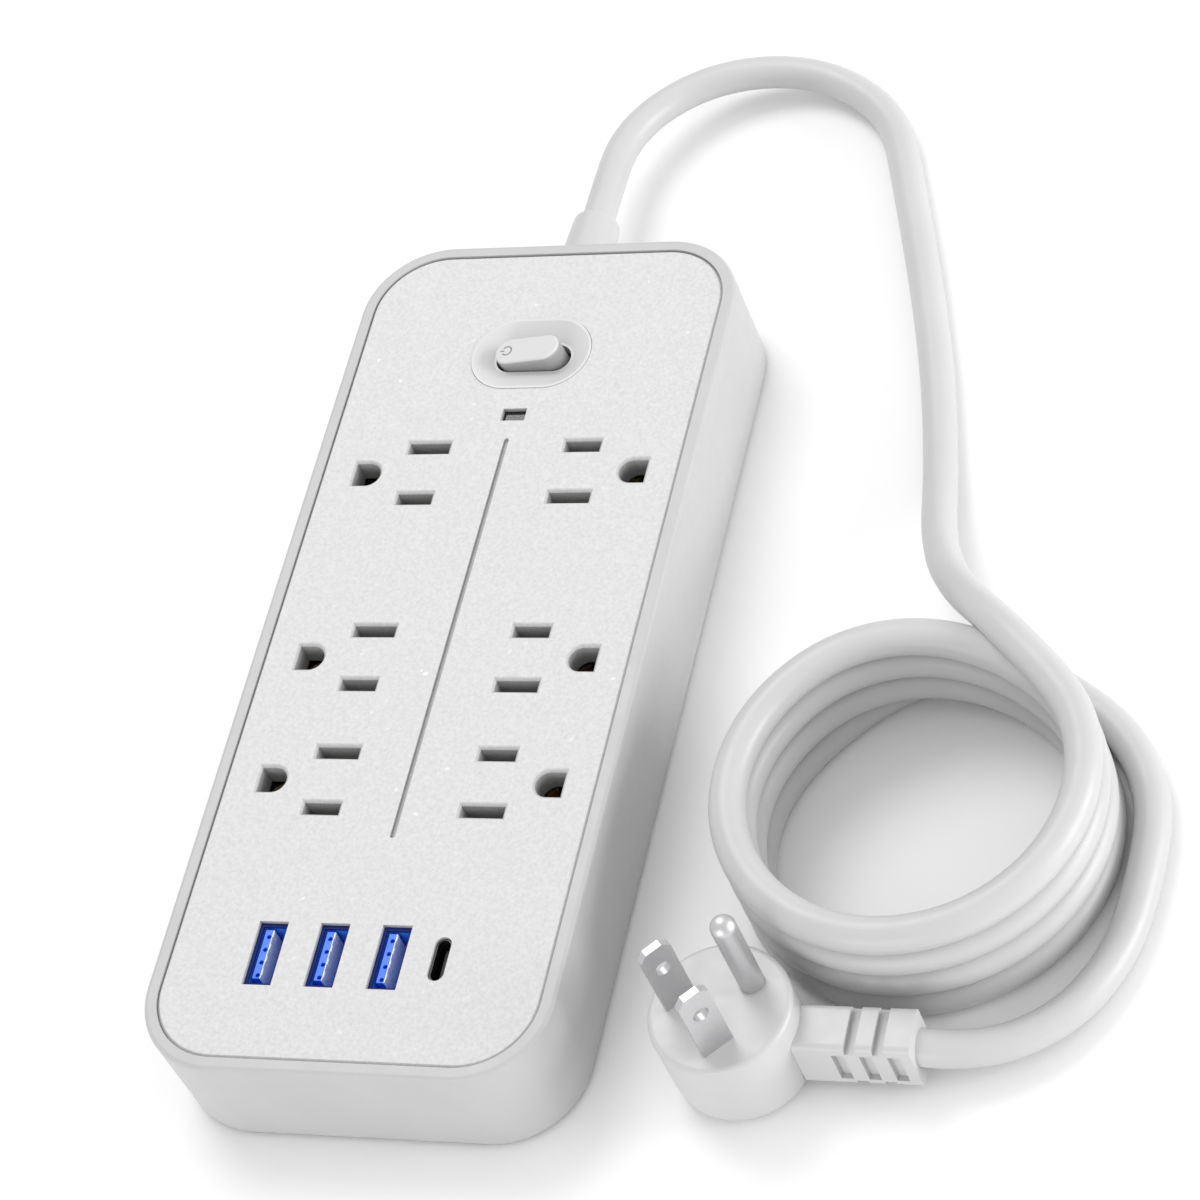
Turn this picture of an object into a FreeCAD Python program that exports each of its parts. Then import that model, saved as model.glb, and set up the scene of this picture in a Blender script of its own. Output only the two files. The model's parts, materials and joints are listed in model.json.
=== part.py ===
"""Power strip with six grounded outlets, four charging ports, a rocker switch and a coiled mains cord.

The strip lies on its back on four rubber feet.  +Z points out of the face, +Y towards the cord,
+X to the right of someone who reads the face with the cord at the top.  The origin is under the
middle of the housing, on the surface it stands on.  All sizes are in millimetres.
"""
import FreeCAD, Part
import math
import os
import re

Vector = FreeCAD.Vector
Rotation = FreeCAD.Rotation
Placement = FreeCAD.Placement

doc = FreeCAD.newDocument("power_strip")

# ---------------------------------------------------------------- driving dimensions

DIMENSIONS = {
    # housing
    "case_width": 82.0,
    "case_length": 196.0,
    "case_corner": 17.0,
    "face_height": 25.0,
    "wall": 2.2,
    "rim_width": 2.6,
    "rim_rounding": 0.9,
    "foot_height": 0.8,
    "cover_thickness": 2.0,
    "cover_top": 2.8,
    "ledge_thickness": 1.5,
    "panel_thickness": 2.0,
    "panel_gap": 0.05,
    "panel_drop": 0.15,
    "post_x": 34.5,
    "post_y": 56.0,
    # outlets
    "outlet_x": 16.55,
    "row_top": 38.95,
    "row_middle": -6.05,
    "row_bottom": -34.5,
    "half_pitch": 6.35,
    "ground_offset": 11.9,
    "long_slot": 8.9,
    "short_slot": 7.6,
    "slot_width": 2.6,
    "ground_radius": 2.75,
    "slot_lead_in": 0.6,
    # charging ports
    "port_y": -73.0,
    "port_first_x": -18.9,
    "port_pitch": 12.6,
    "port_width": 6.0,
    "port_length": 13.7,
    "reversible_x": 16.35,
    # switch
    "switch_y": 69.0,
    "bezel_length": 25.8,
    "bezel_width": 17.9,
    "well_length": 16.2,
    "well_width": 6.8,
    "well_floor": 23.2,
    "pivot_height": 22.1,
    "rocker_length": 14.4,
    "rocker_width": 6.3,
    "rocker_rise": 4.4,
    "rocker_drop": 3.5,
    "rocker_tilt": 7.5,
    # indicator and groove
    "indicator_y": 53.3,
    "indicator_length": 5.2,
    "indicator_width": 3.1,
    "groove_length": 94.6,
    "groove_width": 1.1,
    "groove_depth": 0.7,
    # cord, gland and coil
    "cord_radius": 3.5,
    "gland_height": 12.5,
    "gland_length": 16.0,
    "gland_base": 5.9,
    "gland_tip": 4.9,
    "coil_x": 97.0,
    "coil_y": -32.0,
    "coil_radius": 33.0,
    "coil_turns": 4.0,
    # wall hanging
    "keyhole_y": 46.0,
    "keyhole_radius": 4.2,
    # plug
    "plug_x": 70.0,
    "plug_y": -78.0,
    "plug_radius": 13.5,
    "plug_height": 20.0,
    "plug_seam": 5.6,
    "plug_turn": 45.0,
    "blade_back": 4.5,
    "blade_width": 6.35,
    "blade_thickness": 1.5,
    "blade_length": 17.5,
    "pin_radius": 2.4,
    "pin_root_radius": 2.0,
    "pin_shoulder": 0.4,
    "pin_length": 21.0,
    "relief_end": 104.5,
}

sheet = doc.addObject("Spreadsheet::Sheet", "dims")
for row_number, (alias, value) in enumerate(DIMENSIONS.items(), start=1):
    sheet.set(f"A{row_number}", alias)
    sheet.set(f"B{row_number}", str(value))
    sheet.setAlias(f"B{row_number}", alias)
doc.recompute()

ALIAS_PATTERN = re.compile(r"\b(" + "|".join(DIMENSIONS) + r")\b")
SUB_PARTS = []


def formula(text):
    """An expression of the document, with each bare alias pointed at the sheet."""
    return ALIAS_PATTERN.sub(r"dims.\1", str(text))


def cell(alias):
    """The number in one cell of the sheet."""
    return float(sheet.get(alias))


# ---------------------------------------------------------------- building blocks

AXES = {"x": Vector(1, 0, 0), "y": Vector(0, 1, 0), "z": Vector(0, 0, 1)}


def place(item, at, rotation=None):
    """Puts an object at a point given as three formulas."""
    item.Placement = Placement(Vector(), rotation or Rotation())
    for letter, text in zip("xyz", at):
        item.setExpression(f"Placement.Base.{letter}", formula(text))
    return item


def bind(item, **properties):
    for name, text in properties.items():
        item.setExpression(name, formula(text))
    return item


def block(extent, at):
    """A box centred on at in X and Y, standing on its Z."""
    width, depth, height = extent
    box = bind(doc.addObject("Part::Box", "block"), Length=width, Width=depth, Height=height)
    return place(box, (f"({at[0]}) - ({width}) / 2", f"({at[1]}) - ({depth}) / 2", at[2]))


def rod(radius, height, at, axis="z"):
    cylinder = bind(doc.addObject("Part::Cylinder", "rod"), Radius=radius, Height=height)
    return place(cylinder, at, Rotation(AXES["z"], AXES[axis]))


def cone(first_radius, last_radius, height, at, axis="z"):
    frustum = doc.addObject("Part::Cone", "cone")
    bind(frustum, Radius1=first_radius, Radius2=last_radius, Height=height)
    return place(frustum, at, Rotation(AXES["z"], AXES[axis]))


def join(*pieces):
    if len(pieces) == 1:
        return pieces[0]
    fuse = doc.addObject("Part::MultiFuse", "join")
    fuse.Shapes = list(pieces)
    fuse.Refine = True
    return fuse


def cut(base, *tools):
    result = doc.addObject("Part::Cut", "cut")
    result.Base = base
    result.Tool = join(*tools)
    result.Refine = True
    return result


def group(*pieces):
    """Separate solids kept together as one object, such as a set of screws."""
    compound = doc.addObject("Part::Compound", "group")
    compound.Links = list(pieces)
    return compound


def edge_numbers(shape, test):
    return [number for number, edge in enumerate(shape.Edges, start=1) if test(edge)]


def soften(base, radius, test, kind="Part::Fillet"):
    """Fillets, or with Part::Chamfer bevels, the edges of base that pass a test."""
    doc.recompute()
    feature = doc.addObject(kind, "soften")
    feature.Base = base
    feature.Edges = [(number, radius, radius) for number in edge_numbers(base.Shape, test)]
    return feature


def is_upright(edge):
    bounds = edge.BoundBox
    return bounds.XLength < 1e-6 and bounds.YLength < 1e-6


def rounded_block(extent, corner, at):
    """A box whose four upright edges are rounded."""
    return soften(block(extent, at), corner, is_upright)


def track(length, width, height, at, along="x"):
    """A slab with two straight sides and two round ends, long along X or Y."""
    straight = f"({length}) - ({width})"
    x, y, z = at
    if along == "x":
        ends = [(f"({x}) + {sign} * ({straight}) / 2", y, z) for sign in (-1, 1)]
        middle = block((straight, width, height), at)
    else:
        ends = [(x, f"({y}) + {sign} * ({straight}) / 2", z) for sign in (-1, 1)]
        middle = block((width, straight, height), at)
    return join(middle, *[rod(f"({width}) / 2", height, end) for end in ends])


def feature(shape, placement=None):
    """An object for a shape that was made with Part's own functions."""
    item = doc.addObject("Part::Feature", "shape")
    item.Shape = shape
    if placement:
        item.Placement = placement
    return item


def publish(item, label):
    item.Label = label
    SUB_PARTS.append(item)
    return item


# ---------------------------------------------------------------- round section along a route

ARC_SHARE = 0.45


def routed_wire(points, report=None):
    """Straight runs joined by tangent arcs, each as large as its two runs allow."""
    corners = [Vector(*point) for point in points]
    edges = []
    start = corners[0]
    for before, corner, after in zip(corners, corners[1:], corners[2:]):
        to_before = before - corner
        to_after = after - corner
        half_turn = (math.pi - to_before.getAngle(to_after)) / 2
        reach = ARC_SHARE * min(to_before.Length, to_after.Length)
        radius = reach / math.tan(half_turn)
        to_before.normalize()
        to_after.normalize()
        arc_start = corner + to_before * reach
        arc_end = corner + to_after * reach
        inward = (to_before + to_after).normalize()
        centre_distance = radius / math.cos(half_turn)
        arc_middle = corner + inward * (centre_distance - radius)
        edges.append(Part.LineSegment(start, arc_start).toShape())
        edges.append(Part.Arc(arc_start, arc_middle, arc_end).toShape())
        start = arc_end
        if report is not None:
            report.append(radius)
    edges.append(Part.LineSegment(start, corners[-1]).toShape())
    return Part.Wire(edges)


def routed_tube(points, radius, report=None):
    wire = routed_wire(points, report)
    direction = Vector(*points[1]) - Vector(*points[0])
    section = Part.Wire(Part.makeCircle(radius, Vector(*points[0]), direction))
    return wire.makePipeShell([section], True, False), wire.Length


def cord_tube(points, label):
    """The cord along one uncoiled stretch; prints its bend radii and checks its volume."""
    radii = []
    radius = cell("cord_radius")
    shape, length = routed_tube(points, radius, radii)
    expected = math.pi * radius ** 2 * length
    print(label, "length %.1f" % length, "radii", " ".join("%.0f" % value for value in radii),
          "volume ratio %.4f" % (shape.Volume / expected))
    return publish(feature(shape), label)


# ---------------------------------------------------------------- housing

SIDES = (-1, 1)
ROWS = ("row_top", "row_middle", "row_bottom")
PORTS = (0, 1, 2)


def build_housing():
    shell_height = "face_height - cover_top"
    outer = rounded_block(("case_width", "case_length", shell_height), cell("case_corner"),
                          (0, 0, "cover_top"))
    top = cell("face_height")
    outer = soften(outer, cell("rim_rounding"), lambda edge: edge.BoundBox.ZMin > top - 0.01)
    ledge_bottom = "face_height - panel_thickness - ledge_thickness"
    cavity = rounded_block(("case_width - 2 * wall", "case_length - 2 * wall",
                            f"{ledge_bottom} - cover_top"),
                           cell("case_corner") - cell("wall"), (0, 0, "cover_top"))
    seat = rounded_block(("case_width - 2 * rim_width", "case_length - 2 * rim_width",
                          "panel_thickness"),
                         cell("case_corner") - cell("rim_width"),
                         (0, 0, "face_height - panel_thickness"))
    ledge_inset = cell("rim_width") + 2.0
    ledge_hole = rounded_block(("case_width - 2 * rim_width - 4", "case_length - 2 * rim_width - 4",
                                "ledge_thickness"),
                               cell("case_corner") - ledge_inset, (0, 0, ledge_bottom))
    gland_hole = rod(5.0, 6.0, (0, "case_length / 2 - 4", "gland_height"), "y")
    shell = cut(outer, cavity, seat, ledge_hole, gland_hole)
    posts = []
    pilot_holes = []
    for x_sign in SIDES:
        for y_sign in SIDES:
            spot = (f"{x_sign} * post_x", f"{y_sign} * post_y")
            posts.append(rod(3.4, f"{ledge_bottom} - cover_top - 0.2", (*spot, "cover_top + 0.2")))
            pilot_holes.append(rod(1.3, 11.0, (*spot, "cover_top")))
    publish(cut(join(shell, *posts), *pilot_holes), "housing_shell")


def outlet_slots(side, row, top, height):
    """Two blade slots and the ground hole of one outlet; its ground hole faces outwards."""
    x = f"{side} * outlet_x"
    ground_x = f"{side} * (outlet_x + ground_offset)"
    long_slot = block(("long_slot", "slot_width", height), (x, f"{row} - {side} * half_pitch", top))
    short_slot = block(("short_slot", "slot_width", height), (x, f"{row} + {side} * half_pitch", top))
    round_part = rod("ground_radius", height, (ground_x, row, top))
    flat_part = block(("ground_radius + 0.2", "2 * ground_radius", height),
                      (f"{ground_x} + {side} * (ground_radius + 0.2) / 2", row, top))
    return [long_slot, short_slot, join(round_part, flat_part)]


def port_x(number):
    return f"(port_first_x + {number} * port_pitch)"


def build_face_panel():
    panel_top = cell("face_height") - cell("panel_drop")
    panel_bottom = "face_height - panel_thickness"
    plate = rounded_block(("case_width - 2 * rim_width - 2 * panel_gap",
                           "case_length - 2 * rim_width - 2 * panel_gap",
                           "panel_thickness - panel_drop"),
                          cell("case_corner") - cell("rim_width") - cell("panel_gap"),
                          (0, 0, panel_bottom))
    guides = [block((25, 19, 3.5), (f"{side} * 21.2", row, f"{panel_bottom} - 3.5"))
              for side in SIDES for row in ROWS]
    solid = join(plate, *guides)
    slots = []
    for side in SIDES:
        for row in ROWS:
            slots += outlet_slots(side, row, "face_height - 8", 10)
    slotted = soften(cut(solid, *slots), cell("slot_lead_in"),
                     lambda edge: edge.BoundBox.ZMin > panel_top - 0.01 and abs(edge.BoundBox.XMin) < 36
                     and abs(edge.BoundBox.XMax) < 36 and edge.BoundBox.YLength < 20,
                     "Part::Chamfer")
    ports = [block(("port_width", "port_length", 6), (port_x(number), "port_y", "face_height - 4"))
             for number in PORTS]
    ports.append(track(9.3, 3.3, 6, ("reversible_x", "port_y", "face_height - 4"), "y"))
    windows = [
        track("bezel_length + 0.2", "bezel_width + 0.2", 6, (0, "switch_y", "face_height - 4")),
        block(("indicator_length", "indicator_width", 6), (0, "indicator_y", "face_height - 4")),
        track("groove_length", "groove_width", 2, (0, 0, "face_height - panel_drop - groove_depth"), "y"),
    ]
    publish(cut(slotted, *ports, *windows), "face_panel")


def build_rear_cover():
    plate = rounded_block(("case_width - 0.6", "case_length - 0.6", "cover_thickness"),
                          cell("case_corner") - 0.3, (0, 0, "foot_height"))
    lip_outer = rounded_block(("case_width - 2 * wall - 0.6", "case_length - 2 * wall - 0.6", 1.8),
                              cell("case_corner") - cell("wall") - 0.3, (0, 0, "cover_top"))
    lip_inner = rounded_block(("case_width - 2 * wall - 3.4", "case_length - 2 * wall - 3.4", 1.8),
                              cell("case_corner") - cell("wall") - 1.7, (0, 0, "cover_top"))
    post_gaps = [rod(3.8, 1.8, (f"{x_sign} * post_x", f"{y_sign} * post_y", "cover_top"))
                 for x_sign in SIDES for y_sign in SIDES]
    lip = cut(lip_outer, lip_inner, *post_gaps)
    board_posts = [rod(2.4, 4.2, (f"{side} * 26.5", -64, "cover_top")) for side in SIDES]
    board_posts += [rod(1.8, 2.2, (24, y, "cover_top")) for y in (66, 86)]
    clamp_posts = [rod(2.5, 13.2, (f"{side} * 7.4", 88, "cover_top")) for side in SIDES]
    saddle = block((9, 5, "gland_height - cord_radius - cover_top - 0.1"), (0, 88, "cover_top"))
    solid = join(plate, lip, saddle, *board_posts, *clamp_posts)
    holes = []
    for x_sign in SIDES:
        for y_sign in SIDES:
            spot = (f"{x_sign} * post_x", f"{y_sign} * post_y")
            holes.append(rod(1.8, 4, (*spot, 0)))
            holes.append(rod(2.9, 1.0, (*spot, "foot_height - 0.2")))
    for y in ("keyhole_y", "-keyhole_y"):
        holes.append(rod("keyhole_radius", 4, (0, y, 0)))
        holes.append(block((4, 9, 4), (0, f"{y} + 4.5", 0)))
        holes.append(rod(2, 4, (0, f"{y} + 9", 0)))
    holes += [rod(0.9, 6, (f"{side} * 26.5", -64, "cover_top")) for side in SIDES]
    holes += [rod(0.9, 14, (f"{side} * 7.4", 88, "cover_top + 2.4")) for side in SIDES]
    cover = cut(solid, *holes)
    publish(soften(cover, 0.4, lambda edge: edge.BoundBox.ZMax < cell("foot_height") + 0.01
                   and edge.BoundBox.YLength > 17.5 and edge.BoundBox.XLength < 0.01), "rear_cover")


def screw(head_radius, head_height, shank_radius, shank_length, at, up=True):
    """A pan-head screw with a cross slot; at is the underside of its head."""
    x, y, z = at
    sign = 1 if up else -1
    head_bottom = z if up else f"({z}) - {head_height}"
    slot_bottom = f"({z}) + {head_height} - 0.5" if up else f"({z}) - {head_height}"
    shank_bottom = f"({z}) - {shank_length}" if up else z
    head = rod(head_radius, head_height, (x, y, head_bottom))
    shank = rod(shank_radius, shank_length, (x, y, shank_bottom))
    slots = [block((head_radius * 1.4, 0.5, 0.5), (x, y, slot_bottom)),
             block((0.5, head_radius * 1.4, 0.5), (x, y, slot_bottom))]
    return cut(join(head, shank), *slots)


def build_fasteners_and_feet():
    spots = [(f"{x_sign} * post_x", f"{y_sign} * post_y") for x_sign in SIDES for y_sign in SIDES]
    publish(group(*[screw(2.7, 0.7, 1.25, 10, (*spot, "foot_height + 0.8"), up=False)
                    for spot in spots]), "case_screws")
    feet = [rod(5.0, "foot_height", (f"{x_sign} * 28", f"{y_sign} * 82", 0))
            for x_sign in SIDES for y_sign in SIDES]
    publish(group(*feet), "rubber_feet")
    inner_spots = [(f"{side} * 26.5", -64, 8.65) for side in SIDES]
    inner_spots += [(f"{side} * 7.4", 88, 18.1) for side in SIDES]
    publish(group(*[screw(2.2, 1.2, 0.85, 5, spot) for spot in inner_spots]), "inner_screws")


# ---------------------------------------------------------------- switch and indicator

def track_wire(length, width, height):
    """The outline of a racetrack long along X, centred on the Z axis."""
    half = (length - width) / 2
    radius = width / 2
    corners = [Vector(-half, -radius, height), Vector(half, -radius, height),
               Vector(half, radius, height), Vector(-half, radius, height)]
    right = Part.Arc(corners[1], Vector(half + radius, 0, height), corners[2])
    left = Part.Arc(corners[3], Vector(-half - radius, 0, height), corners[0])
    return Part.Wire([Part.LineSegment(corners[0], corners[1]).toShape(), right.toShape(),
                      Part.LineSegment(corners[2], corners[3]).toShape(), left.toShape()])


def build_switch():
    at_switch = (0, "switch_y")
    slab = track("bezel_length", "bezel_width", "face_height - 20.6", (*at_switch, 20.6))
    floor = cell("well_floor")
    top = cell("face_height")
    rise = top - floor
    lip = 0.5
    dish_top = track_wire(cell("bezel_length") - 2 * lip, cell("bezel_width") - 2 * lip, rise)
    dish_bottom = track_wire(cell("well_length") + 1.0, cell("well_width") + 1.0, 0)
    dish = feature(Part.makeLoft([dish_bottom, dish_top], True, True),
                   Placement(Vector(0, cell("switch_y"), floor), Rotation()))
    well = track("well_length", "well_width", 6, (*at_switch, 20))
    bearings = rod(1.0, 12.6, (0, "switch_y - 6.3", "pivot_height"), "y")
    publish(cut(slab, dish, well, bearings), "switch_bezel")

    tilt = Rotation(AXES["y"], -cell("rocker_tilt"))
    pivot = Vector(0, cell("switch_y"), cell("pivot_height"))
    height = "rocker_rise + rocker_drop"
    key = track("rocker_length", "rocker_width", height, (0, 0, "-rocker_drop"))
    rise_top = cell("rocker_rise")
    key = soften(key, 0.5, lambda edge: edge.BoundBox.ZMin > rise_top - 0.01)
    bore = rod(1.1, 3.2, (0, 0, "-rocker_drop"))
    axle = rod(0.95, 11.8, (0, -5.9, 0), "y")
    rocker = join(cut(key, bore), axle)
    rocker.Placement = Placement(pivot, tilt)
    publish(rocker, "power_rocker")
    plunger = rod(1.0, 8.0, (0, 0, "-rocker_drop - 5.6"))
    plunger = soften(plunger, 0.5, lambda edge: edge.BoundBox.ZMax < -9.0)
    plunger.Placement = Placement(pivot, tilt)
    publish(plunger, "rocker_plunger")

    outer = block((22, 13, 13.1), (*at_switch, 7.5))
    inner = block((19.6, 10.6, 12.1), (*at_switch, 8.7))
    tabs = [(0, 10.0), (-7, 8.85), (7, 8.85)]
    slots = [block((0.9, 4.9, 3), (x, "switch_y", 7)) for x, _ in tabs]
    publish(cut(outer, inner, *slots), "switch_body")
    publish(group(*[block((0.8, 4.8, top_height - 3.4), (x, "switch_y", 3.4))
                    for x, top_height in tabs]), "switch_terminals")
    lever = block((15, 3.6, 0.6), (0, 0, -0.3))
    bumps = [rod(0.8, 0.5, (f"{side} * 6.7", 0, -0.75)) for side in SIDES]
    lever = join(lever, *bumps)
    lever.Placement = Placement(Vector(0, cell("switch_y"), 10.75), Rotation(AXES["y"], 8.0))
    publish(lever, "switch_lever")


def build_indicator():
    at_window = (0, "indicator_y")
    outer = block(("indicator_length + 2.4", "indicator_width + 2.4", 4.9), (*at_window, 18))
    inner = block(("indicator_length", "indicator_width", 3.7), (*at_window, 19.2))
    publish(cut(outer, inner), "indicator_holder")
    body = block((2.2, 1.6, 1.2), (1.1, "indicator_y", 20.3))
    leads = [block((0.3, 0.5, 1.1), (1.1 + offset, "indicator_y", 19.25)) for offset in (-0.7, 0.7)]
    lens = rod(0.6, 0.5, (1.1, "indicator_y", 21.4))
    publish(join(body, lens, *leads), "indicator_lamp")
    publish(block(("indicator_length - 0.1", "indicator_width - 0.1", 1.8), (*at_window, 22.0)),
            "indicator_window")


# ---------------------------------------------------------------- contacts under the outlets

CLIP_BOTTOM = 5.2
CLIP_TOP = 18.9


def blade_clip(x, y):
    """Two spring leaves either side of a blade, joined underneath."""
    outer = block((6.5, 2.2, CLIP_TOP - CLIP_BOTTOM), (x, y, CLIP_BOTTOM))
    gap = block((6.5, 1.2, CLIP_TOP), (x, y, CLIP_BOTTOM + 0.6))
    return cut(outer, gap)


def blade_bus(side, clip_sign, rail_x):
    """A stamped rail with one clip for each outlet of a column."""
    x = f"{side} * outlet_x"
    pieces = []
    for row in ROWS:
        y = f"{row} + {clip_sign} * half_pitch"
        pieces.append(blade_clip(x, y))
        pieces.append(block((f"abs({rail_x} - outlet_x)", 2.2, 0.6),
                            (f"{side} * ({rail_x} + outlet_x) / 2", y, CLIP_BOTTOM)))
    rail_length = "row_top - row_bottom + 20"
    pieces.append(block((0.8, rail_length, 3.0),
                        (f"{side} * {rail_x}", "(row_top + row_bottom) / 2", CLIP_BOTTOM)))
    return join(*pieces)


def ground_bus(side):
    x = f"{side} * (outlet_x + ground_offset)"
    pieces = [block((5, "row_top - row_bottom + 14", 0.6),
                    (x, "(row_top + row_bottom) / 2", CLIP_BOTTOM))]
    for row in ROWS:
        sleeve = rod(3.1, 12.8, (x, row, CLIP_BOTTOM + 0.6))
        bore = rod(2.45, 13, (x, row, CLIP_BOTTOM + 0.6))
        slit = block((1.0, 8, 13), (x, row, CLIP_BOTTOM + 3))
        pieces.append(cut(sleeve, bore, slit))
    return join(*pieces)


def build_contacts():
    for side, name in zip(SIDES, ("left", "right")):
        publish(blade_bus(side, side, 9.95), f"hot_bus_{name}")
        publish(blade_bus(side, -side, 22.35), f"neutral_bus_{name}")
        publish(ground_bus(side), f"ground_bus_{name}")
        middle = "(row_top + row_bottom) / 2"
        tray = block((27, 96, 2), (f"{side} * 20.5", middle, 3.1))
        walls = [block((1.2, 96, 10), (f"{side} * {x}", middle, 5.1)) for x in (7.6, 24.3)]
        publish(join(tray, *walls), f"contact_tray_{name}")


# ---------------------------------------------------------------- charging board

PORT_CONTACTS = (4.9, 2.15, -0.6, -3.35)


def build_ports():
    for number in PORTS:
        x = port_x(number)
        spot = (x, "port_y")
        outer = block((5.8, 13.4, 14.8), (*spot, 8.6))
        inner = block((5.4, 13.0, 14.8), (*spot, 8.6))
        publish(cut(outer, inner), f"port_shell_{number + 1}")
        lining = block((5.35, 12.95, 14.8), (*spot, 8.7))
        flange = block((5.9, 13.6, 0.55), (*spot, 23.45))
        mouth = block((4.6, 12.1, 11), (*spot, 14))
        publish(cut(join(lining, flange), mouth), f"port_liner_{number + 1}")
        centre_y = "port_y + 0.4"
        tongue = block((1.45, 10.4, 9.6), (f"{x} - 1.075", centre_y, 14.05))
        notches = [rod(0.45, 2, (f"{x} - 0.85", f"port_y + {offset - 0.8}", 22.6))
                   for offset in PORT_CONTACTS]
        publish(cut(tongue, *notches), f"port_tongue_{number + 1}")
        strip = block((0.15, 10.4, 4.7), (f"{x} - 0.255", centre_y, 18.9))
        pads = [block((0.12, 1.2, 1.8), (f"{x} - 0.13", f"port_y + {offset}", 21.7))
                for offset in PORT_CONTACTS]
        publish(join(strip, *pads), f"port_contacts_{number + 1}")
    spot = ("reversible_x", "port_y")
    publish(cut(track(9.1, 3.1, 15.6, (*spot, 8.6), "y"), track(8.5, 2.5, 15, (*spot, 10.6), "y")),
            "reversible_port_shell")
    publish(block((0.7, 6.6, 11.5), (*spot, 10.65)), "reversible_port_tongue")


def build_boards():
    board = block((60, 30, 1.5), (0, -77, 7.05))
    holes = [rod(1.1, 3, (f"{side} * 26.5", -64, 6.5)) for side in SIDES]
    publish(cut(board, *holes), "charging_board")
    core = block((12, 6, 9), (-9, -86.5, 8.6))
    winding = block((8, 8.6, 6), (-9, -86.5, 10.1))
    publish(join(core, winding), "transformer")
    publish(rod(3.6, 10, (5, -87, 8.6)), "filter_capacitor")
    publish(block((6, 3.4, 1.6), (17, -86, 8.6)), "charging_controller")
    publish(block((15, 26, 1.4), (24, 76, 5.05)), "surge_board")
    publish(soften(rod(6.0, 3.6, (24, 82, 13), "y"), 0.6, lambda edge: True), "surge_varistor")
    publish(rod(1.6, 11, (18.8, 65, 8.4), "y"), "thermal_fuse")


# ---------------------------------------------------------------- cord, gland, clamp and wires

def build_gland():
    end = "case_length / 2"
    flange = rod(7.0, 2.2, (0, f"{end} - wall - 2.3", "gland_height"), "y")
    neck = rod(4.9, "wall + 1", (0, f"{end} - wall - 0.5", "gland_height"), "y")
    collar = cone("gland_base", "gland_tip", "gland_length", (0, f"{end} + 0.1", "gland_height"), "y")
    tip_y = cell("case_length") / 2 + cell("gland_length")
    collar = soften(collar, 0.9, lambda edge: edge.BoundBox.YMin > tip_y)
    bore = rod(3.6, 40, (0, f"{end} - 12", "gland_height"), "y")
    publish(cut(join(flange, neck, collar), bore), "cord_gland")
    jacket = rod("cord_radius", "gland_length + 13.9", (0, f"{end} - 14", "gland_height"), "y")
    publish(jacket, "inner_cord_end")
    bar = block((19, 5, 2), (0, 88, 16.05))
    holes = [rod(1.0, 4, (f"{side} * 7.4", 88, 15)) for side in SIDES]
    publish(cut(bar, *holes), "cord_clamp")


WIRE_RADIUS = 1.0
WIRES = {
    "hot_wire": [(1.9, 83.4, 12.5), (3, 79, 10), (13.2, 76, 8), (13.2, 70, 5), (7.9, 69, 5)],
    "switched_wire": [(-7.9, 69, 5), (-13.2, 67, 5), (-13.2, 58, 6), (-5, 53, 4.2), (-5, 49.5, 4.2)],
    "neutral_wire": [(-1.9, 83.6, 12.5), (-4, 79, 12.5), (-16, 75, 12), (-22.35, 62, 8),
                     (-22.35, 49.2, 6.7)],
    "ground_wire": [(0, 83.6, 14.6), (0, 79, 16.5), (-18, 79, 16.5), (-28.4, 68, 10), (-28.4, 48, 6.9)],
}


def build_wires():
    for label, points in WIRES.items():
        publish(feature(routed_tube(points, WIRE_RADIUS)[0]), label)


LEAD_ROUTE = [(0, 114, 12.5), (0, 119.5, 12.5), (0, 142, 11), (14.7, 159.2, 8), (37, 162.7, 5),
              (56.5, 150.5, 3.5), (63.7, 129, 3.5), (72, 103, 3.5), (79, 78, 3.5), (84, 54, 4),
              (88, 33, 8.5), (97, 15, 19), (109.2, 2.5, 24.5), (120.3, -8.7, 24.5)]
TAIL_ROUTE = [(107.2, 6.3, 3.5), (120.3, 0.4, 3.5), (131.4, -9, 3.5), (138, -22.3, 3.5), (138.3, -38, 3.5),
              (136.4, -54.5, 3.5), (128.2, -69.4, 4.5), (113.8, -78, 6.5), (104.5, -78, 8.5)]


def build_cord():
    cord_tube(LEAD_ROUTE, "power_cord_lead")
    height = "2 * cord_radius * coil_turns"
    at_coil = ("coil_x", "coil_y", 0)
    coil = cut(rod("coil_radius + cord_radius", height, at_coil),
               rod("coil_radius - cord_radius", height, at_coil))
    publish(soften(coil, 1.5, lambda edge: edge.BoundBox.ZLength < 0.01), "power_cord_coil")
    cord_tube(TAIL_ROUTE, "power_cord_tail")


# ---------------------------------------------------------------- plug

def on_plug(item):
    """Turns and moves a piece made about the plug's own axis, with the ground pin towards +X."""
    item.Placement = Placement(Vector(cell("plug_x"), cell("plug_y"), 0),
                               Rotation(AXES["z"], cell("plug_turn")))
    return item


def blade(side):
    spot = ("-blade_back", f"{side} * half_pitch", "plug_height - 5")
    return block(("blade_width", "blade_thickness", "blade_length + 5"), spot)


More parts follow.
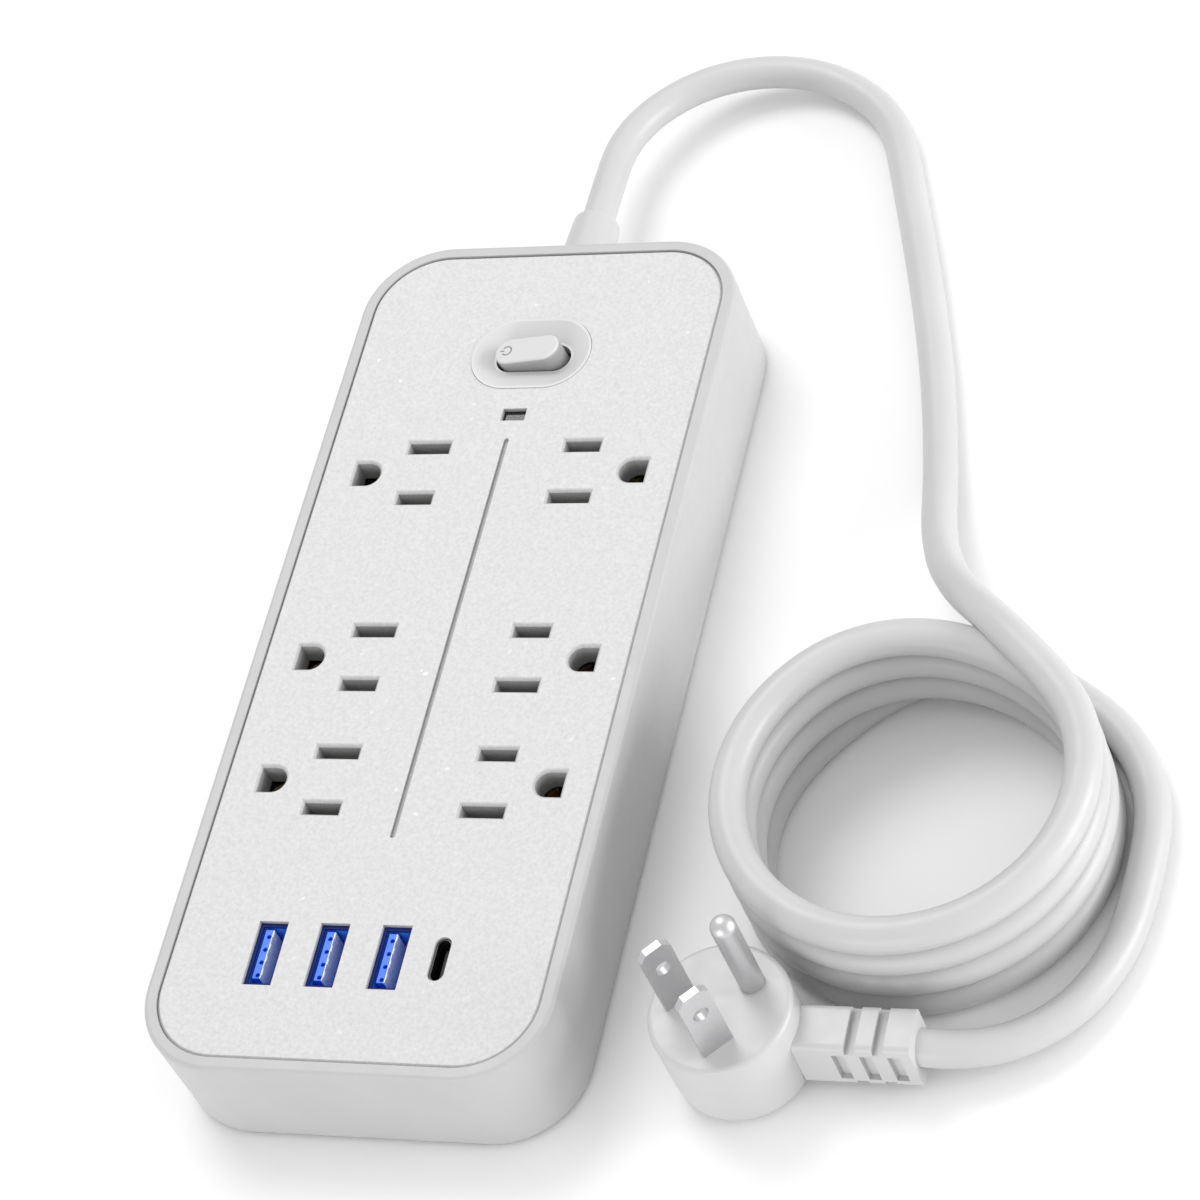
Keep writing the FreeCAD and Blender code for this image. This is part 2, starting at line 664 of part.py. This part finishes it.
def build_plug():
    top = cell("plug_height")
    can = rod("plug_radius", "plug_height - plug_seam", (0, 0, "plug_seam"))
    can = soften(can, 1.1, lambda edge: edge.BoundBox.ZMin > top - 0.01 and edge.BoundBox.XLength > 1)
    pin_x = "ground_offset - blade_back"
    pin_pocket = rod("pin_root_radius", 8, (pin_x, 0, "plug_height - 5"))
    publish(on_plug(cut(can, blade(-1), blade(1), pin_pocket)), "plug_body")
    cap = rod("plug_radius - 0.2", "plug_seam - 0.05", (0, 0, 0))
    cap = soften(cap, 3.6, lambda edge: edge.BoundBox.ZMax < 0.01 and edge.BoundBox.XLength > 1)
    publish(on_plug(cap), "plug_base_cap")
    tip = top + cell("blade_length")
    for side, label in zip(SIDES, ("neutral_blade", "hot_blade")):
        hole = rod(1.6, 4, ("-blade_back", f"{side} * half_pitch - 2", "plug_height + 11.5"), "y")
        pierced = cut(blade(side), hole)
        tapered = soften(pierced, 1.5, lambda edge: edge.BoundBox.ZMin > tip - 0.01
                         and edge.BoundBox.YLength > 1, "Part::Chamfer")
        publish(on_plug(tapered), label)
    shank = rod("pin_radius", "pin_length - pin_shoulder", (pin_x, 0, "plug_height + pin_shoulder"))
    pin_tip = top + cell("pin_length")
    shank = soften(shank, cell("pin_radius") - 0.05,
                   lambda edge: edge.BoundBox.ZMin > pin_tip - 0.01 and edge.BoundBox.XLength > 1)
    root = rod("pin_root_radius", "pin_shoulder + 5.5", (pin_x, 0, "plug_height - 5"))
    publish(on_plug(join(shank, root)), "ground_pin")


def build_relief():
    start = "plug_x + plug_radius - 5"
    length = f"relief_end - ({start})"
    middle = f"({start} + relief_end) / 2"
    body = block((length, 9.4, 12.4), (middle, "plug_y", 2.3))
    body = soften(body, 1.3, lambda edge: edge.BoundBox.XLength > 5)
    side_slots = []
    for offset in (4.4, 9.6, 14.8):
        for side in SIDES:
            side_slots.append(block((2.3, 2.2, 8.0), (f"relief_end - {offset} + 1.2",
                                                      f"plug_y + {side} * 4.7", 4.5)))
    notches = [block((2.1, 12, 1.7), (f"relief_end - {offset}", "plug_y", z))
               for offset in (5.8, 11.0) for z in (2.2, 13.1)]
    plug_space = rod("plug_radius + 0.02", 30, ("plug_x", "plug_y", -1))
    publish(cut(body, plug_space, *side_slots, *notches), "plug_strain_relief")


# ---------------------------------------------------------------- assembly

build_housing()
build_face_panel()
build_rear_cover()
build_fasteners_and_feet()
build_switch()
build_indicator()
build_contacts()
build_ports()
build_boards()
build_gland()
build_wires()
build_cord()
build_plug()
build_relief()
doc.recompute()

faults = [item.Label for item in doc.Objects if {"Invalid", "Error"} & set(item.State)]
for item in SUB_PARTS:
    shape = item.Shape
    if shape.isNull() or not shape.isValid() or not shape.Solids:
        faults.append(item.Label)
if faults:
    raise SystemExit("these objects failed: " + ", ".join(faults))

os.makedirs("parts", exist_ok=True)
for item in SUB_PARTS:
    item.Shape.exportStep(f"parts/{item.Label}.step")
print(len(SUB_PARTS), "sub-parts written")
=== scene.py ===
"""Looks of the power strip: its materials, its cord, the sign on its rocker and a plain studio."""
import json
import math

import bmesh
import bpy
from mathutils import Matrix, Vector


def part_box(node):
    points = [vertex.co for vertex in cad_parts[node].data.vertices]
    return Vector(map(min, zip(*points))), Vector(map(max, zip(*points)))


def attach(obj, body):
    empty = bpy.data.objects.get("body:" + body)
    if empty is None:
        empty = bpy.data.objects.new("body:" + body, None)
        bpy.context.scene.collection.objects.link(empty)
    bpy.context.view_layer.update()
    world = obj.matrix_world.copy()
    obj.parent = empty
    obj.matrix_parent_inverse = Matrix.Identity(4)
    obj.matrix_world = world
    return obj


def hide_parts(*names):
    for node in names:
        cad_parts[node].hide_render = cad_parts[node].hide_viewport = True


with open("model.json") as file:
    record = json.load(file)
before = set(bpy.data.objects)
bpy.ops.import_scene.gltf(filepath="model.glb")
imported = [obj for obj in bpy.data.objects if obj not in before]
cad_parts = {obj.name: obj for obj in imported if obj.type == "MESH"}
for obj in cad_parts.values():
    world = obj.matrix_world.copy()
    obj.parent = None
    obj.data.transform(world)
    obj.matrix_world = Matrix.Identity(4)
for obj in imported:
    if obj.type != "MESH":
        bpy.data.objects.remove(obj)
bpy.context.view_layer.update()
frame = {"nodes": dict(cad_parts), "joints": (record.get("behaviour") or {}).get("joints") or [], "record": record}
nodes = frame["nodes"]
joints = {joint["name"]: joint for joint in frame["joints"]}
MM = 0.001
PANEL_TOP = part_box("face_panel")[1].z
# From this height up, the top 0.4 mm of their flanges, the port liners are navy.
PORT_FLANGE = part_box("port_liner_1")[1].z - 0.4 * MM
# The rocker turns about its axle and, at rest, leans towards -X; its top is 4.4 mm above the axle.
ROCKER_PIVOT = Vector(joints["rocker_tilt"]["pos_m"])
ROCKER_REST_TILT = math.radians(-7.5)
ROCKER_RISE = 4.4

# ---------------------------------------------------------------- camera

CAMERA_PLACE = Vector((0.3154, -0.4153, 0.6115))
CAMERA_TARGET = Vector((0.02926, 0.00736, 0.025))
CAMERA_ROLL = math.radians(27.08)
CAMERA_LENS = 121.8


def make_camera():
    data = bpy.data.cameras.new("camera")
    data.lens = CAMERA_LENS
    data.sensor_width = 36
    data.clip_start = 0.01
    data.clip_end = 20
    camera = bpy.data.objects.new("camera", data)
    bpy.context.scene.collection.objects.link(camera)
    aim = (CAMERA_TARGET - CAMERA_PLACE).to_track_quat("-Z", "Y").to_matrix().to_4x4()
    roll = Matrix.Rotation(-CAMERA_ROLL, 4, "Z")
    camera.matrix_world = Matrix.Translation(CAMERA_PLACE) @ aim @ roll
    bpy.context.scene.camera = camera


# ---------------------------------------------------------------- material helpers

class Nodes:
    """A small helper around one material's node tree."""

    def __init__(self, name):
        self.material = bpy.data.materials.new(name)
        self.material.use_nodes = True
        self.tree = self.material.node_tree
        self.shader = self.tree.nodes["Principled BSDF"]
        self.place = self.add("ShaderNodeTexCoord").outputs["Object"]

    def add(self, kind, **settings):
        node = self.tree.nodes.new(kind)
        for key, value in settings.items():
            setattr(node, key, value)
        return node

    def link(self, output, target):
        self.tree.links.new(output, target)

    def noise(self, scale, detail=3.0, roughness=0.5, stretch=None):
        node = self.add("ShaderNodeTexNoise")
        node.inputs["Scale"].default_value = scale
        node.inputs["Detail"].default_value = detail
        node.inputs["Roughness"].default_value = roughness
        place = self.place
        if stretch:
            mapping = self.add("ShaderNodeMapping")
            mapping.inputs["Scale"].default_value = stretch
            self.link(place, mapping.inputs["Vector"])
            place = mapping.outputs["Vector"]
        self.link(place, node.inputs["Vector"])
        return node.outputs["Fac"]

    def cells(self, scale, feature="F1", output="Distance"):
        node = self.add("ShaderNodeTexVoronoi", feature=feature)
        node.inputs["Scale"].default_value = scale
        self.link(self.place, node.inputs["Vector"])
        return node.outputs[output]

    def ramp(self, value, stops):
        node = self.add("ShaderNodeValToRGB")
        elements = node.color_ramp.elements
        elements[0].position, elements[0].color = stops[0][0], (*stops[0][1], 1)
        elements[1].position, elements[1].color = stops[-1][0], (*stops[-1][1], 1)
        for position, colour in stops[1:-1]:
            elements.new(position).color = (*colour, 1)
        self.link(value, node.inputs["Fac"])
        return node.outputs["Color"]

    def range(self, value, low, high, from_low=0.0, from_high=1.0):
        node = self.add("ShaderNodeMapRange")
        node.inputs["From Min"].default_value = from_low
        node.inputs["From Max"].default_value = from_high
        node.inputs["To Min"].default_value = low
        node.inputs["To Max"].default_value = high
        self.link(value, node.inputs["Value"])
        return node.outputs["Result"]

    def height(self, axis=(0, 0, 1)):
        """The distance along an axis, upright by default, in metres from the middle of the footprint."""
        node = self.add("ShaderNodeVectorMath", operation="DOT_PRODUCT")
        self.link(self.place, node.inputs[0])
        node.inputs[1].default_value = axis
        return node.outputs["Value"]

    def mix(self, share, first, second, blend="MIX"):
        """Colours mixed by a share; each may be a socket or a plain colour."""
        node = self.add("ShaderNodeMix", data_type="RGBA", blend_type=blend)
        for place, value in ((0, share), (6, first), (7, second)):
            if isinstance(value, bpy.types.NodeSocket):
                self.link(value, node.inputs[place])
            elif place == 0:
                node.inputs[place].default_value = value
            else:
                node.inputs[place].default_value = (*value, 1)
        return node.outputs[2]

    def bump(self, height, strength, distance):
        node = self.add("ShaderNodeBump")
        node.inputs["Strength"].default_value = strength
        node.inputs["Distance"].default_value = distance
        self.link(height, node.inputs["Height"])
        return node.outputs["Normal"]

    def set(self, **values):
        """Sets shader inputs, by a link where the value is a socket; _ in a name stands for a space."""
        for key, value in values.items():
            socket = self.shader.inputs[key.replace("_", " ")]
            if isinstance(value, bpy.types.NodeSocket):
                self.link(value, socket)
            else:
                socket.default_value = value
        return self.material


def shade(colour, factor):
    return tuple(min(1.0, part * factor) for part in colour)


def grey(level):
    return (level, level, level)


def moulded(name, colour, roughness, grain=4000.0, depth=0.02, coat=0.0):
    """Plastic with a faint mottle in its colour and a fine grain; depth is the grain's, in mm."""
    kit = Nodes(name)
    mottle = kit.noise(60.0, 2.0)
    tint = kit.ramp(mottle, [(0.3, shade(colour, 0.98)), (0.7, shade(colour, 1.02))])
    fine = kit.noise(grain, 2.0)
    rough = kit.range(kit.noise(350.0, 3.0), roughness * 0.88, min(1.0, roughness * 1.12), 0.3, 0.7)
    normal = kit.bump(fine, 0.25, depth * MM)
    return kit.set(Base_Color=tint, Roughness=rough, Normal=normal, Coat_Weight=coat)


def plated(name, colour, roughness, brushed=(1.0, 1.0, 1.0)):
    """Bare or plated metal with fine marks, stretched where a part of brushed is below one."""
    kit = Nodes(name)
    marks = kit.noise(4000.0, 3.0, 0.6, brushed)
    tint = kit.ramp(marks, [(0.3, shade(colour, 0.95)), (0.7, shade(colour, 1.04))])
    rough = kit.range(marks, roughness * 0.9, roughness * 1.1, 0.3, 0.7)
    normal = kit.bump(marks, 0.06, 0.005 * MM)
    return kit.set(Base_Color=tint, Metallic=1.0, Roughness=rough, Normal=normal)


def panel_plastic():
    """Matt plastic with a pebbled grain and small bright flecks, and painted shade that darkens it down inside the
    slots.
    """
    kit = Nodes("panel_plastic")
    pebbles = kit.noise(1300.0, 4.0, 0.65)
    tint = kit.ramp(pebbles, [(0.32, grey(0.58)), (0.5, grey(0.63)), (0.68, grey(0.68))])
    flecks = kit.range(kit.cells(1100.0, output="Color"), 0.0, 0.6, 0.93, 1.0)
    tint = kit.mix(flecks, tint, grey(0.9))
    # Painted shade: the colour is multiplied darker with depth below the panel's top, down inside the slots and
    # holes.
    painted_shade_depth = kit.range(kit.height(), 1.0, 0.0, PANEL_TOP - 0.0035, PANEL_TOP - 0.0001)
    painted_slot_shade = kit.ramp(painted_shade_depth, [(0.0, grey(1.0)), (0.04, grey(0.85)), (0.2, grey(0.68)), (0.5, grey(0.66)),
                             (1.0, grey(0.45))])
    tint = kit.mix(1.0, tint, painted_slot_shade, "MULTIPLY")
    normal = kit.bump(pebbles, 0.4, 0.06 * MM)
    return kit.set(Base_Color=tint, Roughness=kit.range(flecks, 0.6, 0.3), Normal=normal)


def rocker_plastic():
    """Switch plastic with painted shade: the key's sides are coloured darker than its top."""
    kit = Nodes("rocker_plastic")
    axis = Vector((math.sin(ROCKER_REST_TILT), 0, math.cos(ROCKER_REST_TILT)))
    top = ROCKER_PIVOT.dot(axis) + ROCKER_RISE * MM
    grain = kit.noise(3000.0, 2.0)
    # Painted shade: the colour darkens from the key's top down its sides, standing in for the light they miss.
    tint = kit.ramp(kit.range(kit.height(axis), 0.0, 1.0, top - 0.0016, top - 0.0002),
                    [(0.0, grey(0.30)), (0.75, grey(0.36)), (1.0, grey(0.62))])
    rough = kit.range(kit.noise(350.0, 3.0), 0.34, 0.42, 0.3, 0.7)
    return kit.set(Base_Color=tint, Roughness=rough, Normal=kit.bump(grain, 0.25, 0.02 * MM))


def liner_plastic():
    """Blue plastic inside a charging port, navy on the flange round its mouth."""
    kit = Nodes("navy_plastic")
    depth = kit.range(kit.height(), 0.0, 1.0, PORT_FLANGE - 0.0002, PORT_FLANGE)
    tint = kit.mix(kit.noise(300.0, 2.0), (0.03, 0.17, 0.72), (0.04, 0.22, 0.85))
    tint = kit.mix(depth, tint, (0.004, 0.016, 0.13))
    return kit.set(Base_Color=tint, Roughness=kit.range(kit.noise(350.0), 0.55, 0.7),
                   Normal=kit.bump(kit.noise(4000.0, 2.0), 0.25, 0.02 * MM), Specular_IOR_Level=0.2)


def smoked():
    """Dark clear plastic of the indicator's window."""
    kit = Nodes("smoked_window")
    rough = kit.range(kit.noise(500.0), 0.05, 0.12)
    return kit.set(Base_Color=(0.10, 0.10, 0.11, 1), Roughness=rough, Transmission_Weight=0.9, IOR=1.49)


def laminate():
    """Green solder mask with faint darker lines, as tracks would show through it."""
    kit = Nodes("board_laminate")
    weave = kit.noise(900.0, 2.0)
    tracks = kit.cells(220.0, "DISTANCE_TO_EDGE")
    tint = kit.ramp(tracks, [(0.0, (0.03, 0.16, 0.07)), (0.09, (0.06, 0.30, 0.13)),
                             (0.2, (0.05, 0.24, 0.11))])
    normal = kit.bump(weave, 0.1, 0.02 * MM)
    return kit.set(Base_Color=tint, Roughness=0.3, Normal=normal, Coat_Weight=0.4)


def make_materials():
    """One material for each slot of the frame, a few special finishes and the sign's ink."""
    return {
        "case_plastic": moulded("case_plastic", grey(0.49), 0.42),
        "panel_plastic": panel_plastic(),
        "cover_plastic": moulded("cover_plastic", grey(0.5), 0.6, grain=1600.0, depth=0.06),
        "foot_rubber": moulded("foot_rubber", grey(0.06), 0.85, grain=1800.0, depth=0.08),
        "screw_steel": plated("screw_steel", (0.62, 0.62, 0.64), 0.32),
        "switch_plastic": moulded("switch_plastic", grey(0.62), 0.38, grain=3000.0),
        "rocker_plastic": rocker_plastic(),
        "black_plastic": moulded("black_plastic", grey(0.015), 0.5),
        "smoked_window": smoked(),
        "lamp_resin": moulded("lamp_resin", (0.80, 0.80, 0.76), 0.2),
        "contact_brass": plated("contact_brass", (0.62, 0.50, 0.30), 0.35, (1, 1, 0.1)),
        "tray_plastic": moulded("tray_plastic", (0.70, 0.69, 0.64), 0.55),
        "port_steel": plated("port_steel", (0.70, 0.70, 0.72), 0.25, (1, 1, 0.1)),
        "dark_steel": plated("dark_steel", grey(0.10), 0.45, (1, 1, 0.1)),
        "navy_plastic": liner_plastic(),
        "blue_plastic": moulded("blue_plastic", (0.015, 0.16, 0.85), 0.35),
        # Pale and not metallic: as bare metal the contacts only mirror the navy flange.
        "port_contact_metal": moulded("port_contact_metal", (0.93, 0.95, 1.0), 0.35, coat=0.3),
        "board_laminate": laminate(),
        "ferrite": moulded("ferrite", grey(0.03), 0.7, grain=900.0, depth=0.08),
        "capacitor_can": moulded("capacitor_can", (0.05, 0.05, 0.09), 0.35, coat=0.5),
        "varistor_coating": moulded("varistor_coating", (0.02, 0.10, 0.40), 0.3, coat=0.6),
        "hot_insulation": moulded("hot_insulation", grey(0.015), 0.4),
        "neutral_insulation": moulded("neutral_insulation", grey(0.70), 0.4),
        "ground_insulation": moulded("ground_insulation", (0.01, 0.20, 0.05), 0.4),
        "cord_jacket": moulded("cord_jacket", grey(0.54), 0.40, grain=2600.0, depth=0.03),
        "plug_plastic": moulded("plug_plastic", grey(0.55), 0.36, grain=3000.0, depth=0.02),
        "blade_metal": plated("blade_metal", (0.62, 0.62, 0.63), 0.44, (1, 1, 0.3)),
        "ink": moulded("ink", grey(0.22), 0.6),
    }


# Nodes that look different from the rest of their material slot.
OWN_FINISH = {"power_rocker": "rocker_plastic", "reversible_port_shell": "dark_steel",
              "indicator_holder": "black_plastic"}


def dress_frame():
    slots = {entry["node"]: entry["material_slot"] for entry in frame["record"]["subparts"]}
    for name, node in nodes.items():
        node.data.materials.clear()
        node.data.materials.append(materials[OWN_FINISH.get(name, slots[name])])


# ---------------------------------------------------------------- cord

CORD_DIAMETER = 0.007
COIL_CENTRE = Vector((97, -32))
COIL_RADIUS = 33
COIL_LAYERS = 4
STEPS_PER_TURN = 20
CLIMB_START, CLIMB_END = 60.0, 132.0
LANDING_ANGLE = 36.0
LEAVING_ANGLE = 72.0
# The cord's last point is 1.5 mm inside the strain relief, which closes round it.
RELIEF_ENTRY = (103, -78, 8.8)
LEAD_ROUTE = [(0, 114, 12.5), (0, 119.5, 12.5), (0, 142, 11), (14.7, 159.2, 8), (37, 162.7, 5),
              (56.5, 150.5, 3.5), (63.7, 129, 3.5), (72, 103, 3.5), (79, 78, 3.5), (84, 54, 4),
              (88, 33, 8.5), (97, 15, 19), (109.2, 2.5, 24.5)]
TAIL_ROUTE = [(120.3, 0.4, 3.5), (131.4, -9, 3.5), (138, -22.3, 3.5), (138.3, -38, 3.5),
              (136.4, -54.5, 3.5), (128.2, -69.4, 4.5), (113.8, -78, 6.5), RELIEF_ENTRY]


def coil_route():
    """Turns from where the lead comes down onto the stack to where the tail leaves it.

    Every turn climbs one cord thickness between the same two angles, and the lowest one leaves
    outwards there, beside the turn above it.  Angles are in degrees, from +X towards +Y.
    """
    thickness = CORD_DIAMETER / MM
    step = 360 / STEPS_PER_TURN
    # The curve runs a little inside its control points, so they are set out by this much.
    reach = COIL_RADIUS / (0.75 + 0.25 * math.cos(math.radians(step)))
    first = 360 * COIL_LAYERS + LANDING_ANGLE
    points = []
    count = round((first - LEAVING_ANGLE) / step)
    for number in range(count + 1):
        angle = first - number * step
        layer = math.floor((angle - CLIMB_START) / 360)
        share = min(1.0, (angle - CLIMB_START - 360 * layer) / (CLIMB_END - CLIMB_START))
        rise = math.sin(share * math.pi / 2)
        if layer == 0:
            radius = reach + thickness * math.cos(share * math.pi / 2)
            height = thickness / 2
        else:
            radius = reach
            height = thickness * (layer - 0.5 + rise)
        turn = math.radians(angle)
        points.append((COIL_CENTRE.x + radius * math.cos(turn),
                       COIL_CENTRE.y + radius * math.sin(turn), height))
    return points


def make_cord():
    route = LEAD_ROUTE + coil_route() + TAIL_ROUTE
    data = bpy.data.curves.new("power_cord", "CURVE")
    data.dimensions = "3D"
    data.bevel_depth = CORD_DIAMETER / 2
    data.bevel_resolution = 7
    data.resolution_u = 8
    data.use_fill_caps = True
    spline = data.splines.new("NURBS")
    spline.points.add(len(route) - 1)
    for point, place in zip(spline.points, route):
        point.co = (*(Vector(place) * MM), 1)
    spline.order_u = 3
    spline.use_endpoint_u = True
    cord = bpy.data.objects.new("power_cord", data)
    bpy.context.scene.collection.objects.link(cord)
    data.materials.append(materials["cord_jacket"])
    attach(cord, "strip")
    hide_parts("power_cord_lead", "power_cord_coil", "power_cord_tail")


# ---------------------------------------------------------------- sign on the rocker

SIGN_X = -4.5
SIGN_RADIUS = 1.05
SIGN_STROKE = 0.3
SIGN_PROUD = 0.02
SIGN_SINK = 0.1


def add_stroke(mesh, left_side, right_side):
    """A raised stroke between two rows of points on the rocker's top."""
    rows = []
    for side, height in ((left_side, -SIGN_SINK), (left_side, SIGN_PROUD),
                         (right_side, SIGN_PROUD), (right_side, -SIGN_SINK)):
        rows.append([mesh.verts.new((x, y, ROCKER_RISE + height)) for x, y in side])
    for first, second in zip(rows, rows[1:] + rows[:1]):
        for step in range(len(first) - 1):
            mesh.faces.new((first[step], first[step + 1], second[step + 1], second[step]))
    for end in (0, -1):
        mesh.faces.new([row[end] for row in rows])


def make_power_sign():
    """A broken ring with a dash in its gap, printed near the lower end of the rocker."""
    mesh = bmesh.new()
    half = SIGN_STROKE / 2
    gap = math.radians(38)
    angles = [math.pi + gap + (2 * math.pi - 2 * gap) * step / 36 for step in range(37)]
    ring = [[(SIGN_X + radius * math.cos(angle), radius * math.sin(angle)) for angle in angles]
            for radius in (SIGN_RADIUS - half, SIGN_RADIUS + half)]
    add_stroke(mesh, *ring)
    dash = (SIGN_X - 1.45, SIGN_X - 0.55)
    add_stroke(mesh, [(x, -half) for x in dash], [(x, half) for x in dash])
    bmesh.ops.recalc_face_normals(mesh, faces=mesh.faces)
    bmesh.ops.scale(mesh, vec=(MM, MM, MM), verts=mesh.verts)
    tilt = Matrix.Rotation(ROCKER_REST_TILT, 4, "Y")
    bmesh.ops.transform(mesh, matrix=Matrix.Translation(ROCKER_PIVOT) @ tilt, verts=mesh.verts)
    data = bpy.data.meshes.new("power_sign")
    mesh.to_mesh(data)
    mesh.free()
    data.materials.append(materials["ink"])
    sign = bpy.data.objects.new("power_sign", data)
    bpy.context.scene.collection.objects.link(sign)
    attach(sign, "rocker")


# ---------------------------------------------------------------- studio

def area_light(name, place, target, size, power):
    data = bpy.data.lights.new(name, "AREA")
    data.shape = "DISK"
    data.size = size
    data.energy = power
    light = bpy.data.objects.new(name, data)
    light.location = place
    light.rotation_euler = (Vector(target) - Vector(place)).to_track_quat("-Z", "Y").to_euler()
    bpy.context.scene.collection.objects.link(light)


def make_studio():
    mesh = bpy.data.meshes.new("floor")
    reach = 6.0
    mesh.from_pydata([(-reach, -reach, 0), (reach, -reach, 0), (reach, reach, 0), (-reach, reach, 0)],
                     [], [(0, 1, 2, 3)])
    floor = bpy.data.objects.new("floor", mesh)
    bpy.context.scene.collection.objects.link(floor)
    kit = Nodes("floor_paint")
    tint = kit.ramp(kit.noise(3.0), [(0.3, grey(0.93)), (0.7, grey(0.95))])
    mesh.materials.append(kit.set(Base_Color=tint, Roughness=0.9, Specular_IOR_Level=0.1))
    world = bpy.data.worlds.new("studio")
    bpy.context.scene.world = world
    world.use_nodes = True
    background = world.node_tree.nodes["Background"]
    background.inputs["Color"].default_value = (1, 1, 1, 1)
    background.inputs["Strength"].default_value = 0.82
    middle = (0.05, 0.0, 0.02)
    area_light("key", (-0.45, 0.65, 1.3), middle, 0.8, 7.5)
    area_light("right_fill", (1.6, 0.25, 0.25), middle, 0.9, 19.0)
    area_light("front_fill", (-0.3, -1.8, 0.25), middle, 1.0, 10.5)
    bpy.context.scene.view_settings.view_transform = "Standard"


# ---------------------------------------------------------------- assembly

materials = make_materials()
make_camera()
dress_frame()
make_cord()
make_power_sign()
make_studio()
